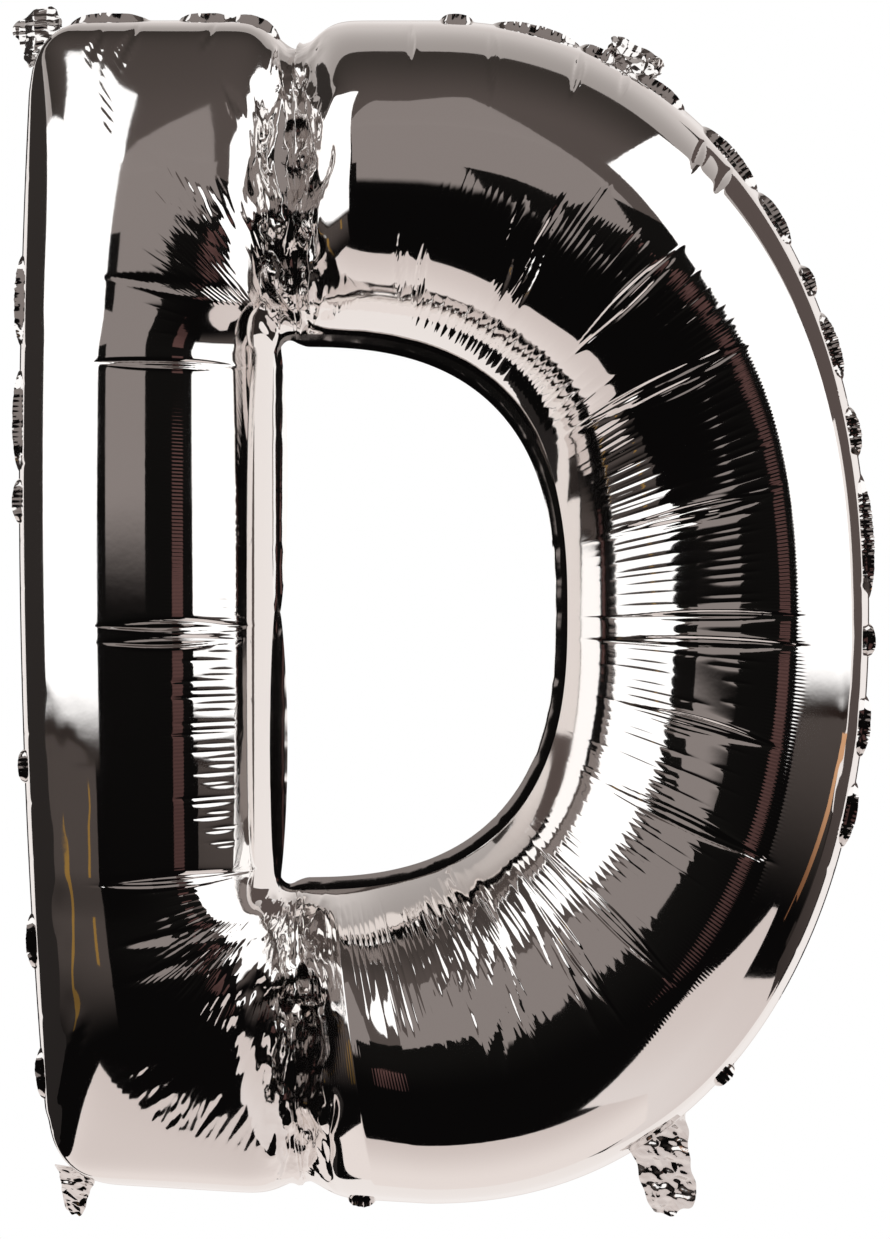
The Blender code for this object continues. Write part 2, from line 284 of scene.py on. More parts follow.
# %% Outline functions
def superellipse(centre, reach, power, angle):
    """Points at some angles on a superellipse."""
    cosine, sine = np.cos(angle), np.sin(angle)
    x = centre[0] + reach[0] * np.sign(cosine) * np.abs(cosine) ** (2 / power)
    z = centre[1] + reach[1] * np.sign(sine) * np.abs(sine) ** (2 / power)
    return np.stack([x, z], axis=-1)


def top_edge(x):
    dip = TOP_NOTCH[1] * np.exp(-(((x - TOP_NOTCH[0]) / NOTCH_HALF_WIDTH) ** 2))
    return np.stack([x, LETTER_TOP - dip], axis=-1)


def bottom_edge(x):
    climb = BOTTOM_SLOPE * (BOWL_CENTRE_X - x)
    dip = BOTTOM_NOTCH[1] * np.exp(-(((x - BOTTOM_NOTCH[0]) / NOTCH_HALF_WIDTH) ** 2))
    return np.stack([x, LETTER_BOTTOM + climb + dip], axis=-1)


def left_edge(z):
    return np.stack([STEM_LEFT + (z - SIDE_ARC_HEIGHT) ** 2 / (2 * SIDE_ARC_RADIUS), z], axis=-1)


def rounded(before, corner, after, radius):
    """A quadratic curve that rounds a corner between two straight runs."""
    start = corner + (before - corner) / np.linalg.norm(before - corner) * radius
    end = corner + (after - corner) / np.linalg.norm(after - corner) * radius
    t = np.linspace(0.0, 1.0, 60)[:, None]
    return start * (1 - t) ** 2 + corner * 2 * t * (1 - t) + end * t**2


def outer_runs():
    """The outer seam, clockwise from the top notch: bowl, low corner, left side and high corner."""
    reach = (BOWL_RIGHT - BOWL_CENTRE_X, (LETTER_TOP - LETTER_BOTTOM) / 2)
    curve = superellipse((BOWL_CENTRE_X, 0.0), reach, BOWL_POWER, np.linspace(np.pi / 2, -np.pi / 2, 1200))
    into = top_edge(np.linspace(TOP_NOTCH[0], BOWL_CENTRE_X, 200))[:-1]
    out = bottom_edge(np.linspace(BOWL_CENTRE_X, BOTTOM_NOTCH[0], 200))[1:]
    bowl = np.concatenate([into, curve, out])

    low_corner = bottom_edge(left_edge(LETTER_BOTTOM)[0])
    low_start = low_corner[0] + CORNER_RADIUS
    low_turn = rounded(bottom_edge(low_start), low_corner, left_edge(COUNTER_BOTTOM), CORNER_RADIUS)
    low = np.concatenate(
        [
            bottom_edge(np.linspace(BOTTOM_NOTCH[0], low_start, 200)),
            low_turn[1:],
            left_edge(np.linspace(low_turn[-1][1], COUNTER_BOTTOM, 200))[1:],
        ]
    )
    side = left_edge(np.linspace(COUNTER_BOTTOM, COUNTER_TOP, 400))

    high_corner = np.array([left_edge(LETTER_TOP)[0], LETTER_TOP])
    high_end = high_corner[0] + CORNER_RADIUS
    high_turn = rounded(left_edge(COUNTER_TOP), high_corner, top_edge(high_end), CORNER_RADIUS)
    high = np.concatenate(
        [
            left_edge(np.linspace(COUNTER_TOP, high_turn[0][1], 200)),
            high_turn[1:],
            top_edge(np.linspace(high_end, TOP_NOTCH[0], 200))[1:],
        ]
    )
    return bowl, low, side, high


def counter_runs(grown):
    """The counter's outline in four runs that match the outer ones, this far outside its seam."""
    left = COUNTER_LEFT - grown
    radius = COUNTER_CORNER_RADIUS + grown
    reach = (COUNTER_RIGHT + grown - left - radius, (COUNTER_TOP - COUNTER_BOTTOM) / 2 + grown)
    angles = np.linspace(np.pi / 2, -np.pi / 2, 1200)
    curve = superellipse((left + radius, 0.0), reach, COUNTER_POWER, angles)
    low = rounded(curve[-1], np.array([left, -reach[1]]), np.array([left, reach[1]]), radius)
    high = rounded(np.array([left, -reach[1]]), np.array([left, reach[1]]), curve[0], radius)
    return curve, low, np.stack([low[-1], high[0]]), high


def resample(points, count):
    """This many points at equal steps along a line, its last point left out."""
    steps = np.linalg.norm(np.diff(points, axis=0), axis=1)
    reached = np.concatenate([[0.0], np.cumsum(steps)])
    wanted = np.arange(count) / count * reached[-1]
    return np.stack([np.interp(wanted, reached, points[:, k]) for k in (0, 1)], axis=-1)


def stations(runs, counts):
    return np.concatenate([resample(run, count) for run, count in zip(runs, counts)])


def smooth_ring(values, passes):
    """Averages a closed ring of values with its neighbours."""
    for _ in range(passes):
        values = (np.roll(values, 1, axis=0) + 2 * values + np.roll(values, -1, axis=0)) / 4
    return values


# %% [markdown]
# ## The inflated film
#
# The film is one ring-shaped grid. Its stations run round the letter, and its rows run from the counter's seam
# to the outer seam. Along the stem the cross-section of an inflated tube is a half circle. Round the bowl the
# film is pulled only from seam to seam, so its curve is tighter on the outside, and the crest moves outwards.

# %% Grid of the film
BOWL_STATIONS = 1640
CORNER_STATIONS = 260
STEM_STATIONS = 760
COUNTS = (BOWL_STATIONS, CORNER_STATIONS, STEM_STATIONS, CORNER_STATIONS)
STATIONS = sum(COUNTS)
ROWS = 58
SEAM_ROWS = 3
STEEPEST = math.radians(77)

inner_ring = smooth_ring(stations(counter_runs(0.0), COUNTS), 8)
outer_ring = smooth_ring(stations(outer_runs(), COUNTS), 12)


def ramp(value, start, end):
    """0 before start, 1 after end, and smooth between."""
    share = np.clip((value - start) / (end - start), 0.0, 1.0)
    return share * share * (3 - 2 * share)


def hill(value, centre, width):
    """A smooth bump of height 1 round a centre."""
    return np.exp(-(((value - centre) / width) ** 2))


def bowl_lean():
    """How much tighter the bowl's tube curves on its outside: little at the top, and more from there down."""
    station = np.arange(STATIONS) / BOWL_STATIONS
    top, side, bottom = 0.03, 0.40, 0.30
    lean = top * ramp(station, 0.0, 0.1) + (side - top) * ramp(station, 0.20, 0.42)
    return lean + (bottom - side) * ramp(station, 0.60, 0.78) - bottom * ramp(station, 0.88, 1.0)


def half_turns(lean, shift, turn):
    """Where the film is across the tube, from -1 to 1, when it has turned this far."""
    scale = 1 + lean - shift
    inside = np.maximum(1 + 4 * lean * (scale * np.sin(turn) + shift), 0.0)
    return (np.sqrt(inside) - 1) / (2 * lean)


def heights(lean, shift, turn):
    """The film's height over these turns, added up step by step from the counter's seam."""
    across = half_turns(lean, shift, turn)
    fall = -np.sin(turn) * (1 + lean - shift) / (1 + 2 * lean * across)
    step = np.diff(turn, axis=1)
    risen = np.cumsum((fall[:, 1:] + fall[:, :-1]) / 2 * step, axis=1)
    return across, np.concatenate([np.zeros((len(lean), 1)), risen], axis=1)


def tube_profile(lean):
    """The cross-section of the inflated tube at each station, as rows from seam to seam: place across, from 0
    to 1, and height as a share of half the width. The film pulls only from seam to seam, so its curve is
    tighter where the ring is longer. The crest's place is found by halving, so that both seams stay level."""
    lean = np.maximum(lean, 1e-4)[:, None]
    low, high = np.zeros_like(lean), lean.copy()
    steps = np.linspace(0, 1, 240)[None, :]
    for _ in range(26):
        shift = (low + high) / 2
        first = np.arcsin(np.clip((lean - 1 - shift) / (1 + lean - shift), -1, 1))
        end_height = heights(lean, shift, first + (np.pi / 2 - first) * steps)[1][:, -1:]
        high = np.where(end_height > 0, shift, high)
        low = np.where(end_height > 0, low, shift)
    first = np.maximum(first, -STEEPEST)
    curved = np.linspace(0, 1, ROWS + 1 - 2 * SEAM_ROWS)[None, :]
    turn = first + (STEEPEST - first) * curved
    across, height = heights(lean, shift, turn)
    height -= height.min(axis=1, keepdims=True)
    lift = np.maximum(-height[:, -1:], 0)
    height += lift
    parts = []
    for side, near, slope in ((0, 0, -first), (1, -1, np.full_like(first, STEEPEST))):
        foot_height = height[:, near][:, None] + (0.12 if side else 0.06)
        foot = foot_height / np.tan(slope)
        share = np.linspace(0, 1, SEAM_ROWS + 1)[None, :]
        share = share[:, :-1] if side == 0 else share[:, 1:]
        place = across[:, near][:, None]
        if side == 0:
            parts.append((place - foot * (1 - share), foot_height * share - (foot_height - height[:, :1])))
        else:
            parts.append((place + foot * share, height[:, -1:] - foot_height * share))
    across = np.concatenate([parts[0][0], across, parts[1][0]], axis=1)
    height = np.concatenate([parts[0][1], height, parts[1][1]], axis=1)
    share = (across - across[:, :1]) / (across[:, -1:] - across[:, :1])
    height = height - height[:, :1] * (1 - share) - height[:, -1:] * share
    return share, height * 2 / (across[:, -1:] - across[:, :1])


# %% [markdown]
# Where the stem and the bowl meet, above and below the counter, the film is pinched into a valley. The stem
# goes on past the counter as a tube that closes at its ends, and the bowl ends in a round lobe of its own.

# %% Stem, lobes and valleys
STEM_CREST = 0.0885
END_STEEP_SHARE = 0.33
END_STEEP_REACH = 0.0045
END_REACH = 0.17
VALLEY_SHARE = 0.52
BOWL_LOBE = 0.058
STEM_LOBE = 0.045
EASE = 150


def end_rise(distance):
    """The height of the stem's end as a share of its crest: steep at the seam, and then a long gentle slope."""
    steep = 1 - np.exp(-np.maximum(distance, 0) / END_STEEP_REACH)
    gentle = np.sin(np.pi / 2 * np.clip(distance / END_REACH, 0, 1))
    return END_STEEP_SHARE * steep + (1 - END_STEEP_SHARE) * gentle


def stem_tube(x, z):
    """The height of the stem's tube, run on to both ends of the letter."""
    past = ramp(np.abs(z), 0.20, 0.37)
    right = COUNTER_LEFT + 0.024 * ramp(np.abs(z), 0.180, 0.215) + 0.022 * past
    left = left_edge(z)[..., 0]
    across = np.clip((x - (left + right) / 2) / ((right - left) / 2), -1, 1)
    crest = STEM_CREST + 0.006 * past
    above, below = top_edge(x)[..., 1] - z, z - bottom_edge(x)[..., 1]
    return crest * np.sqrt(1 - across**2) * end_rise(above) * end_rise(below)


def lobe(full, valley_height, distance, reach):
    """The height beside a valley. Squared heights add, which gives a round lobe."""
    share = 1 - (1 - np.clip(distance / reach, 0, 1)) ** 2.3
    return np.sqrt(valley_height**2 + np.maximum(full**2 - valley_height**2, 0) * share)


def eased(values):
    """A grid of values, made smoother from station to station along the bowl, but not at its two ends."""
    bowl = values[: BOWL_STATIONS + 1]
    kernel = np.hanning(2 * EASE + 1)
    padded = np.pad(bowl, ((EASE, EASE), (0, 0)), mode="edge")
    soft = np.apply_along_axis(np.convolve, 0, padded, kernel / kernel.sum(), "valid")
    station = np.arange(BOWL_STATIONS + 1)[:, None]
    weight = ramp(station, 90, 240) * (1 - ramp(station, BOWL_STATIONS - 240, BOWL_STATIONS - 90))
    result = values.copy()
    result[: BOWL_STATIONS + 1] += (soft - bowl) * weight
    return result


def inflated_film():
    """The front film before its wrinkles, as a grid of points with y pointing away from the seam plane."""
    share, height = tube_profile(bowl_lean())
    share, height = eased(share), eased(height)
    flat = inner_ring[:, None, :] + (outer_ring - inner_ring)[:, None, :] * share[:, :, None]
    x, z = flat[:, :, 0], flat[:, :, 1]
    half_width = np.linalg.norm(outer_ring - inner_ring, axis=1)[:, None] / 2
    ring_height = height * half_width
    stem = stem_tube(x, z)
    limit = 1.25 * ring_height
    stem = (np.maximum(stem, 1e-6) ** -8 + np.maximum(limit, 1e-6) ** -8) ** (-1 / 8)
    is_bowl = (np.arange(STATIONS) <= BOWL_STATIONS)[:, None]
    full = np.where(is_bowl, ring_height, stem)
    pinch = VALLEY_SHARE * ring_height[0][None, :]
    notch_x = np.where(z > 0, TOP_NOTCH[0], BOTTOM_NOTCH[0])
    past = ramp(np.abs(z), COUNTER_TOP - 0.012, COUNTER_TOP + 0.012)
    distance = np.abs(x - notch_x)
    joined = lobe(full, np.minimum(pinch, full), distance, np.where(is_bowl, BOWL_LOBE, STEM_LOBE))
    out = full + (joined - full) * past
    out[:, 0] = out[:, -1] = 0
    return np.stack([x, out, z], axis=-1)


film = inflated_film()
print("Film height above the seam plane:", round(film[:, :, 1].max(), 4), "m")


# %% [markdown]
# ## Wrinkles
#
# Gas bends the bowl's tube, and the film on the inside of the bend has more length than it needs, so it
# gathers in fine radial wrinkles, about 7 mm apart. Film can't stretch, so each wrinkle is a sharp valley
# between two rounded swells. Longer creases cross the whole tube. Between the stem and the bowl the film
# is crumpled. All of them are valleys and ridges of the same kind, placed on the grid by formula.


# %% Wrinkle functions
def grid_normals(points):
    """The way out of the film at every point of a grid that closes along its stations."""
    along = np.roll(points, -1, axis=0) - np.roll(points, 1, axis=0)
    across = np.gradient(points, axis=1)
    normals = np.cross(across, along)
    normals /= np.maximum(np.linalg.norm(normals, axis=2, keepdims=True), 1e-12)
    return normals * np.sign(normals[:, ROWS // 2, 1].mean())


def station_at(places):
    """Stations for places given as shares of the bowl's run, from 0 to 1, or of the stem's, from 1 to 2."""
    places = np.asarray(places)
    stem = BOWL_STATIONS + (places - 1) * (STATIONS - BOWL_STATIONS)
    return np.where(places < 1, places * BOWL_STATIONS, stem)


def gathers(points, places, drift, strength, start, end, steepness, widths):
    """Narrow valleys that cross the tube. Each has its place round the ring, the stations it leans by, its
    strength, and the rows' shares where it starts and ends. steepness is the slope of its sides at its two
    ends, and widths are its widths there, in metres."""
    spacing = np.linalg.norm(np.roll(points, -1, axis=0) - points, axis=2)
    height = np.zeros(points.shape[:2])
    row = np.linspace(0, 1, ROWS + 1)
    window = 26
    for place, lean, strong, first, last in zip(station_at(places), drift, strength, start, end):
        middle = int(place)
        station = np.arange(middle - window, middle + window + 1)
        index = station % STATIONS
        fade = min(0.07, (last - first) / 2)
        width = np.interp(row, [first, last], widths)
        depth = strong * np.interp(row, [first, last], steepness) * width
        depth *= ramp(row, first, first + fade) * (1 - ramp(row, last - fade, last))
        at = place + lean * (row - (first + last) / 2)
        away = (station[:, None] - at[None, :]) * spacing[middle % STATIONS][None, :]
        away = np.sqrt(away**2 + 0.0003**2) - 0.0003
        height[index] -= depth[None, :] * np.exp(-away / width[None, :])
    return height


def lines_in_front(points, lines):
    """Valleys and ridges along slightly bowed lines, as seen from the front. Each line has its two ends (x, z),
    how far its middle bows to the side, a depth, which is negative for a ridge, and a width."""
    x, z = points[:, :, 0], points[:, :, 2]
    height = np.zeros(x.shape)
    for x0, z0, x1, z1, bow, depth, width in lines:
        length = math.hypot(x1 - x0, z1 - z0)
        ux, uz = (x1 - x0) / length, (z1 - z0) / length
        near = (np.abs((x - x0) * uz - (z - z0) * ux) < 6 * width + abs(bow)).nonzero()
        along = ((x[near] - x0) * ux + (z[near] - z0) * uz) / length
        inside = (along > -0.05) & (along < 1.05)
        near = (near[0][inside], near[1][inside])
        along = along[inside]
        off = (x[near] - x0) * uz - (z[near] - z0) * ux - bow * np.sin(np.pi * np.clip(along, 0, 1))
        off = np.sqrt(off**2 + 0.0004**2) - 0.0004
        taper = ramp(along, -0.02, 0.25) * (1 - ramp(along, 0.72, 1.02))
        height[near] -= depth * taper * np.exp(-off / width)
    return height


# %% [markdown]
# The gathers come in belts. Short deep ones stand on the inside of the bend, about 7 mm apart, and run out
# before the crest. A second belt of thin ones lies on the crest itself, and a third, much finer, puckers the
# rim. Each has its own length and strength, drawn from a seeded random source, so that every run gives the
# same balloon.

# %% Belts of gathers
# count, places round the ring, where they start, where they end, steepness at both ends, widths at both ends
BELTS = (
    (34, (0.02, 0.14), (0.08, 0.12), (0.16, 0.21), (0.30, 0.16), (0.0008, 0.0010)),
    (66, (0.12, 0.64), (0.065, 0.085), (0.22, 0.29), (0.46, 0.13), (0.0012, 0.0015)),
    (36, (0.14, 0.42), (0.07, 0.12), (0.17, 0.24), (0.36, 0.16), (0.0008, 0.0010)),
    (66, (0.62, 0.97), (0.05, 0.12), (0.22, 0.36), (0.40, 0.36), (0.0008, 0.0011)),
    (30, (0.72, 0.94), (0.20, 0.26), (0.33, 0.38), (0.24, 0.34), (0.0008, 0.0010)),
    (20, (0.11, 0.20), (0.34, 0.38), (0.44, 0.50), (0.24, 0.20), (0.0010, 0.0008)),
    (34, (0.19, 0.335), (0.32, 0.37), (0.50, 0.60), (0.32, 0.40), (0.0012, 0.0009)),
    (16, (0.335, 0.425), (0.27, 0.31), (0.43, 0.50), (0.36, 0.36), (0.0012, 0.0009)),
    (20, (0.42, 0.54), (0.24, 0.27), (0.38, 0.43), (0.34, 0.30), (0.0011, 0.0008)),
    (10, (0.55, 0.68), (0.28, 0.32), (0.36, 0.42), (0.30, 0.26), (0.0010, 0.0007)),
    (16, (1.48, 1.64), (0.21, 0.25), (0.26, 0.34), (0.20, 0.12), (0.0008, 0.0008)),
    (30, (1.24, 1.48), (0.20, 0.26), (0.31, 0.46), (0.18, 0.34), (0.0012, 0.0009)),
    (12, (1.80, 1.90), (0.36, 0.40), (0.46, 0.54), (0.22, 0.16), (0.0009, 0.0008)),
    (16, (1.10, 1.20), (0.25, 0.32), (0.46, 0.56), (0.30, 0.24), (0.0009, 0.0009)),
    (420, (0.0, 2.0), (0.92, 0.96), (1.05, 1.08), (0.12, 0.30), (0.0010, 0.0008)),
    (30, (0.0, 2.0), (0.86, 0.92), (1.05, 1.08), (0.30, 0.60), (0.0014, 0.0018)),
)
GATHER_DRIFT = 1.5
GATHER_JITTER = 0.30


def all_gathers(points, random):
    """Every belt of gathers on the film, summed."""
    height = 0
    for count, places, start, end, steepness, widths in BELTS:
        step = (places[1] - places[0]) / count
        at = np.linspace(*places, count) + random.uniform(-GATHER_JITTER, GATHER_JITTER, count) * step
        drift = random.uniform(-GATHER_DRIFT, GATHER_DRIFT, count)
        strength = random.uniform(0.65, 1.20, count)
        starts, ends = random.uniform(*start, count), random.uniform(*end, count)
        height = height + gathers(points, at, drift, strength, starts, ends, steepness, widths)
    return height


# %% [markdown]
# The long creases are bundles of thin folds that part in the middle and meet at both ends. The crumpled column
# is made of many short folds, long ones first and ever shorter ones over them.


# %% Bundles, crumples and fans
BUNDLES = (
    (0.170, 0.256, 0.082, 0.172, 5, 0.0050),
    (0.222, 0.190, 0.070, 0.118, 4, 0.0045),
    (0.206, 0.172, 0.112, 0.132, 3, 0.0030),
    (0.238, 0.084, 0.094, 0.048, 5, 0.0045),
    (0.226, 0.070, 0.116, 0.058, 3, 0.0030),
    (0.262, -0.003, 0.096, -0.004, 3, 0.0026),
    (0.262, -0.024, 0.098, -0.020, 4, 0.0034),
    (0.236, -0.096, 0.104, -0.060, 5, 0.0050),
    (0.238, -0.178, 0.092, -0.112, 5, 0.0048),
    (0.166, -0.262, 0.060, -0.158, 5, 0.0046),
    (0.130, -0.292, 0.044, -0.170, 4, 0.0040),
    (0.064, -0.308, 0.026, -0.186, 4, 0.0034),
    (0.030, -0.318, 0.010, -0.186, 4, 0.0034),
    (0.054, 0.288, 0.032, 0.196, 4, 0.0030),
    (0.082, 0.292, 0.044, 0.192, 5, 0.0036),
    (0.066, 0.268, 0.044, 0.206, 3, 0.0030),
    (-0.030, 0.280, -0.028, 0.210, 2, 0.0016),
    (-0.012, 0.262, -0.020, 0.206, 2, 0.0020),
    (-0.260, 0.172, -0.122, 0.171, 2, 0.0010),
    (-0.246, -0.010, -0.122, -0.010, 4, 0.0034),
    (-0.252, -0.022, -0.130, -0.019, 3, 0.0022),
    (-0.256, -0.190, -0.118, -0.180, 3, 0.0024),
    (-0.240, 0.230, -0.116, 0.216, 4, 0.0030),
    (-0.214, 0.322, -0.114, 0.262, 5, 0.0050),
    (-0.214, 0.294, -0.124, 0.262, 4, 0.0040),
    (-0.160, 0.376, -0.112, 0.300, 4, 0.0036),
    (-0.140, 0.380, -0.108, 0.318, 3, 0.0030),
    (-0.230, -0.232, -0.112, -0.214, 4, 0.0036),
    (-0.228, -0.258, -0.110, -0.226, 4, 0.0036),
    (-0.210, -0.306, -0.108, -0.250, 5, 0.0044),
    (-0.236, 0.388, -0.230, 0.304, 2, 0.0016),
    (-0.022, 0.378, -0.022, 0.420, 2, 0.0012),
    (0.034, 0.350, 0.033, 0.418, 2, 0.0012),
    (0.088, 0.352, 0.098, 0.400, 3, 0.0016),
    (0.122, 0.352, 0.130, 0.388, 2, 0.0012),
    (0.170, 0.300, 0.184, 0.334, 3, 0.0020),
    (0.186, 0.286, 0.204, 0.316, 3, 0.0020),
    (-0.252, 0.380, -0.238, 0.416, 2, 0.0014),
    (-0.232, 0.376, -0.212, 0.418, 3, 0.0018),
    (-0.172, 0.392, -0.158, 0.418, 2, 0.0012),
)


# x and z of both ends, depth and width of single wide valleys
SPIKES = (
    (0.0285, -0.181, 0.0306, -0.3035, 0.0015, 0.0022),
    (0.0378, -0.236, 0.0406, -0.3163, 0.0013, 0.0020),
    (0.0499, -0.177, 0.1083, -0.2935, 0.0016, 0.0024),
    (0.0445, -0.182, 0.0800, -0.2600, 0.0011, 0.0016),
    (0.0078, -0.178, -0.0185, -0.2358, 0.0011, 0.0015),
    (0.0128, -0.180, -0.0085, -0.2765, 0.0014, 0.0020),
    (0.0185, -0.182, 0.0057, -0.2836, 0.0012, 0.0018),
    (-0.2750, -0.352, -0.2520, -0.2720, -0.0011, 0.0042),
    (-0.2700, -0.352, -0.2470, -0.2780, 0.0007, 0.0026),
    (-0.2790, -0.300, -0.2680, -0.1800, 0.0008, 0.0040),
)
COMB_X = (-0.2223, -0.1981, -0.1710, -0.1204)
COMB_Z = (-0.3178, -0.3520, -0.3634, -0.3805)


def comb(random, count, angles, reach, depth):
    """Short folds side by side, whose lower ends follow a curve."""
    made = []
    for share in np.linspace(0, 1, count):
        x = np.interp(share * 3, range(4), COMB_X)
        z = np.interp(share * 3, range(4), COMB_Z)
        angle = np.interp(share, (0, 1), angles) + random.uniform(-0.08, 0.08)
        far = random.uniform(*reach)
        dx, dz = math.cos(angle), math.sin(angle)
        ends = (x - 0.006 * dx, z - 0.006 * dz, x + far * dx, z + far * dz)
        made.append((*ends, random.uniform(-0.002, 0.002), random.uniform(*depth), random.uniform(0.0009, 0.0014)))
    return made


def bundle(random, x0, z0, x1, z1, count, spread):
    """One long crease as thin folds side by side, valleys and ridges by turns."""
    made = []
    for index in range(count):
        bow = spread * (2 * index / max(count - 1, 1) - 1) + random.uniform(-0.0006, 0.0006)
        a, b = random.uniform(0.0, 0.16, 2)
        ax, az = x0 + (x1 - x0) * a, z0 + (z1 - z0) * a
        bx, bz = x1 + (x0 - x1) * b, z1 + (z0 - z1) * b
        deep = random.uniform(0.0006, 0.0013)
        made.append((ax, az, bx, bz, bow, deep, random.uniform(0.0008, 0.0013)))
        made.append((ax, az, bx, bz, bow + 0.0022, -0.6 * deep, random.uniform(0.0008, 0.0012)))
    return made


def crumples(random, count, places, spread, length, depth, width, turn=0.45):
    """Random folds along a line between two places. turn is how much they lean either way."""
    made = []
    for _ in range(count):
        t = random.uniform(0, 1)
        x = random.normal(places[0][0] + (places[1][0] - places[0][0]) * t, spread)
        z = places[0][1] + (places[1][1] - places[0][1]) * t
        angle = random.normal(math.pi / 2, turn)
        half = random.uniform(*length) / 2
        dx, dz = math.cos(angle) * half, math.sin(angle) * half
        deep = random.uniform(*depth) * random.choice([-1, 1])
        made.append((x - dx, z - dz, x + dx, z + dz, random.uniform(-0.002, 0.002), deep, random.uniform(*width)))
    return made


def fan(random, count, root, angles, start, reach, depth):
    """Folds that spread from a pinched place."""
    made = []
    for angle in np.linspace(*angles, count) + random.uniform(-0.02, 0.02, count):
        near, far = random.uniform(*start), random.uniform(*reach)
        dx, dz = math.cos(angle), math.sin(angle)
        ends = (root[0] + dx * near, root[1] + dz * near, root[0] + dx * far, root[1] + dz * far)
        bow = random.uniform(-0.003, 0.003)
        made.append((*ends, bow, random.uniform(*depth), random.uniform(0.0009, 0.0015)))
    return made


LEFT_STREAKS = ((-0.266, -0.07), (-0.262, -0.27))
RIGHT_STREAKS = ((0.292, 0.0), (0.276, -0.13))
UPPER_COLUMN = ((-0.108, 0.205), (-0.104, 0.400))
LOWER_COLUMN = ((-0.110, -0.205), (-0.100, -0.405))


def all_folds(random):
    """Every long crease, crumple and fan of the film."""
    lines = []
    for entry in BUNDLES:
        lines += bundle(random, *entry)
    for x0, z0, x1, z1, depth, width in SPIKES:
        lines.append((x0, z0, x1, z1, random.uniform(-0.001, 0.001), depth, width))
    lines += comb(random, 24, (0.35, 1.10), (0.018, 0.045), (0.0004, 0.0008))
    lines += crumples(random, 26, LEFT_STREAKS, 0.010, (0.05, 0.12), (0.00012, 0.0004), (0.0018, 0.0035), 0.05)
    lines += crumples(random, 14, RIGHT_STREAKS, 0.007, (0.04, 0.09), (0.0001, 0.0003), (0.0018, 0.0030), 0.08)
    for column in (UPPER_COLUMN, LOWER_COLUMN):
        lines += crumples(random, 34, column, 0.010, (0.040, 0.090), (0.0014, 0.0036), (0.0034, 0.0055))
        lines += crumples(random, 70, column, 0.009, (0.022, 0.050), (0.0008, 0.0020), (0.0018, 0.0030))
        lines += crumples(random, 50, column, 0.008, (0.012, 0.026), (0.0003, 0.0008), (0.0010, 0.0016))
    lines += fan(random, 22, (-0.100, 0.225), (2.35, 3.10), (0.03, 0.06), (0.06, 0.11), (0.0002, 0.0005))
    lines += fan(random, 30, (-0.095, -0.235), (3.15, 4.30), (0.03, 0.07), (0.08, 0.13), (0.0002, 0.0005))
    lines += fan(random, 12, (-0.115, 0.215), (-0.25, 0.45), (0.01, 0.03), (0.04, 0.06), (0.0003, 0.0006))
    lines += fan(random, 12, (-0.115, -0.215), (-0.50, 0.20), (0.01, 0.03), (0.04, 0.07), (0.0003, 0.0006))
    return lines


def wrinkled(points, seed):
    """The film with all its wrinkles, moved along its own normals."""
    random = np.random.default_rng(seed)
    height = all_gathers(points, random) + lines_in_front(points, all_folds(random))
    row = np.linspace(0, 1, ROWS + 1)[None, :]
    height *= ramp(row, 0.0, 0.04) * (1 - 0.8 * ramp(row, 0.985, 1.0))
    return points + grid_normals(points) * height[:, :, None]


# %% [markdown]
# Each piece of film starts as a plain grid primitive, and its vertices are moved to their places. Its UV map is
# in metres of film, along the ring and across the tube, so that the finish can follow the film. The front and
# the back are each made in two meshes, stem and bowl, which meet in the crumpled valleys.


# %% Film meshes
def make_film_piece(name, points, closed=False, masks=None):
    """A mesh from a grid of points, stations first and rows second. A closed one joins its ends. masks are
    values for its points, which the finish reads."""
    rows = points.shape[1] - 1
    steps = points.shape[0] - (0 if closed else 1)
    bpy.ops.object.select_all(action="DESELECT")
    bpy.ops.mesh.primitive_grid_add(x_subdivisions=steps, y_subdivisions=rows, size=1.0, calc_uvs=True)
    piece = bpy.context.object
    piece.name = name
    flat = np.empty(len(piece.data.vertices) * 3)
    piece.data.vertices.foreach_get("co", flat)
    flat = flat.reshape(-1, 3)
    station = np.rint((flat[:, 0] + 0.5) * steps).astype(int)
    row = np.rint((flat[:, 1] + 0.5) * rows).astype(int)
    set_uv_in_metres(piece, points, station, row)
    station %= points.shape[0]
    piece.data.vertices.foreach_set("co", points[station, row].astype(np.float32).ravel())
    for mask, values in (masks or {}).items():
        layer = piece.data.attributes.new(mask, "FLOAT", "POINT")
        layer.data.foreach_set("value", values[station, row].astype(np.float32))
    bpy.ops.object.mode_set(mode="EDIT")
    bpy.ops.mesh.select_all(action="SELECT")
    bpy.ops.mesh.remove_doubles(threshold=1e-6)
    bpy.ops.mesh.normals_make_consistent(inside=False)
    bpy.ops.object.mode_set(mode="OBJECT")
    bpy.ops.object.shade_smooth()
    return piece


def set_uv_in_metres(piece, points, station, row):
    """Writes how far along the ring and across the tube each corner is, in metres."""
    middle = points[:, points.shape[1] // 2]
    along = np.append(0, np.cumsum(np.linalg.norm(np.diff(middle, axis=0, append=middle[:1]), axis=1)))
    typical = points[len(points) // 2]
    across = np.append(0, np.cumsum(np.linalg.norm(np.diff(typical, axis=0), axis=1)))
    corner = np.empty(len(piece.data.loops), dtype=np.int64)
    piece.data.loops.foreach_get("vertex_index", corner)
    pairs = np.stack([along[station[corner]], across[row[corner]]], axis=-1)
    piece.data.uv_layers.active.data.foreach_set("uv", pairs.astype(np.float32).ravel())


def face_away(piece, side):
    """Turns the faces so that the film's outside points away from the seam plane."""
    facing = sum(polygon.normal.y * polygon.area for polygon in piece.data.polygons)
    if facing * side < 0:
        piece.data.flip_normals()


